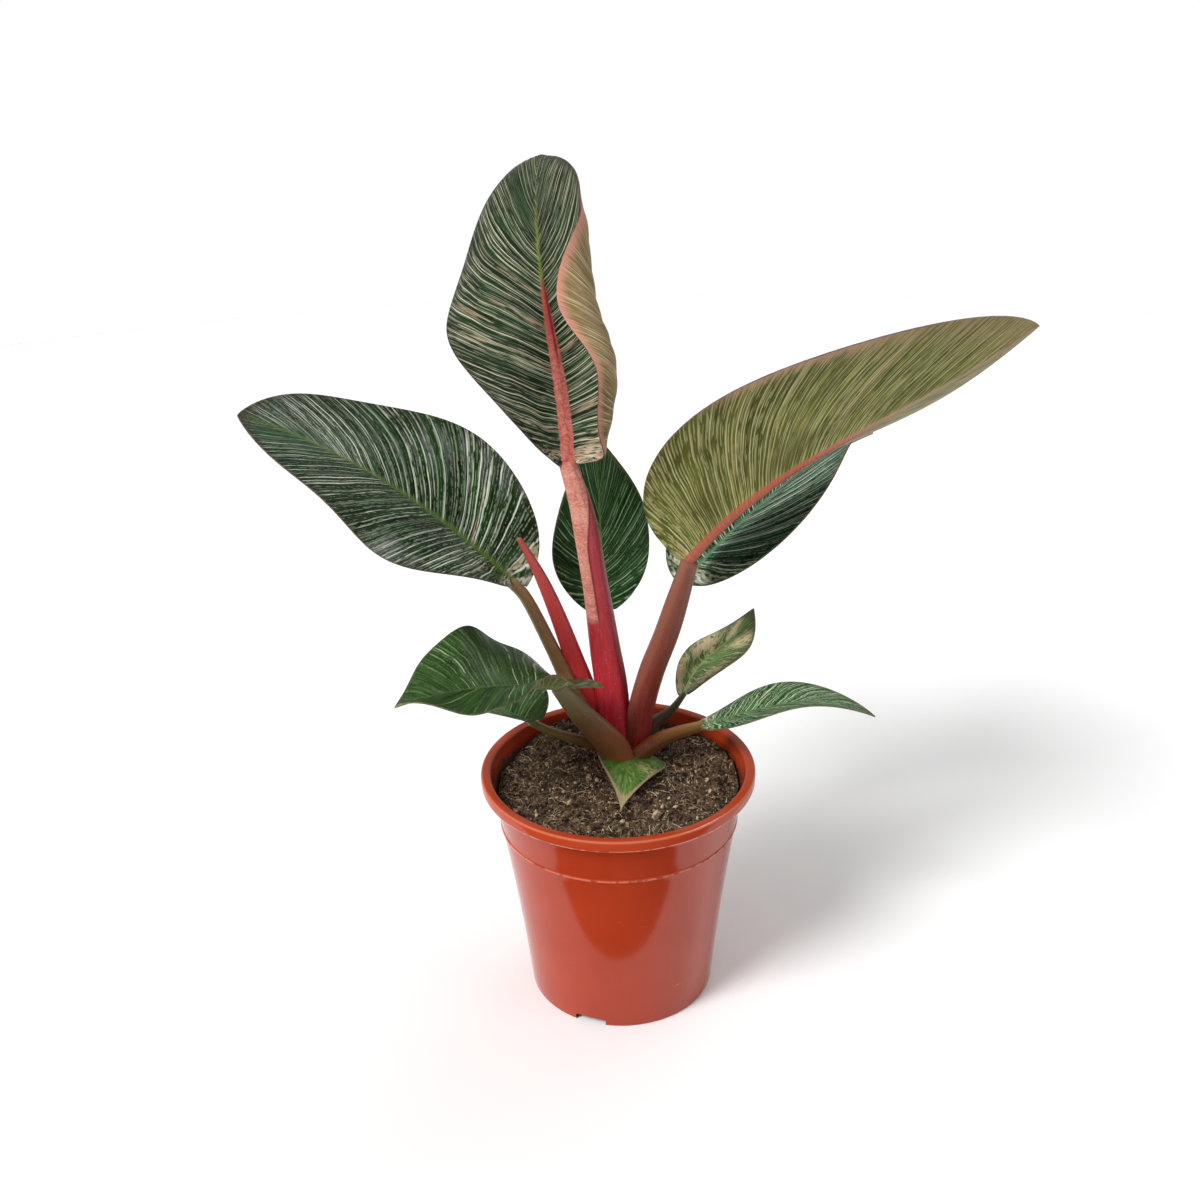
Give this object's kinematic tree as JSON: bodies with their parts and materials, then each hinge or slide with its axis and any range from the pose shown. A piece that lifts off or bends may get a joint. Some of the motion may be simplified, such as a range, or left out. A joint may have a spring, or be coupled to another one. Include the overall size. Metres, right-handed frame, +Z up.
{
  "type": "potted variegated philodendron",
  "caption": "Young pin-striped variegated philodendron with broad pointed leaves on a short stem, growing in a tapered round plastic nursery pot filled with soil.",
  "frame": {"origin": "middle of the underside of the pot, on the surface it stands on", "axes": "+Z up; +X to the right and +Y to the back, seen from the front of the plant as in the picture"},
  "size_m": [0.2983, 0.1523, 0.3568],
  "materials": {
    "pot_plastic": "satin gloss, orange-brown terracotta colour, lightly scuffed",
    "potting_soil": "matte crumbly peat and coir with light fibres",
    "leaf_pink_striped": "waxy satin, dark green with pinkish cream pinstripes and a pink rib",
    "leaf_green_striped": "waxy gloss, dark green with cream and pale green pinstripes",
    "leaf_cream_marked": "waxy satin, mid green with cream streaks and margins",
    "stalk_crimson": "smooth satin, crimson and pink",
    "stalk_red_brown": "smooth satin, red brown with a grey pink side",
    "stalk_olive_brown": "smooth satin, olive brown to orange brown"
  },
  "bodies": {
    "root": {"pot": "pot_plastic", "soil": "potting_soil", "stem": "stalk_red_brown", "new_leaf_sheath": "stalk_crimson", "scale_leaf": "leaf_cream_marked", "stalk_tall": "stalk_crimson", "blade_tall": "leaf_pink_striped", "stalk_right": "stalk_red_brown", "blade_right": "leaf_green_striped", "stalk_left": "stalk_olive_brown", "blade_left": "leaf_green_striped", "stalk_low_left": "stalk_olive_brown", "blade_low_left": "leaf_green_striped", "stalk_low_right": "stalk_olive_brown", "blade_low_right": "leaf_cream_marked", "stalk_small_right": "stalk_olive_brown", "blade_small_right": "leaf_cream_marked", "stalk_back_right": "stalk_red_brown", "blade_back_right": "leaf_green_striped", "stalk_back": "stalk_red_brown", "blade_back": "leaf_green_striped", "stalk_low_back": "stalk_olive_brown", "blade_low_back": "leaf_cream_marked"}
  },
  "joints": []
}
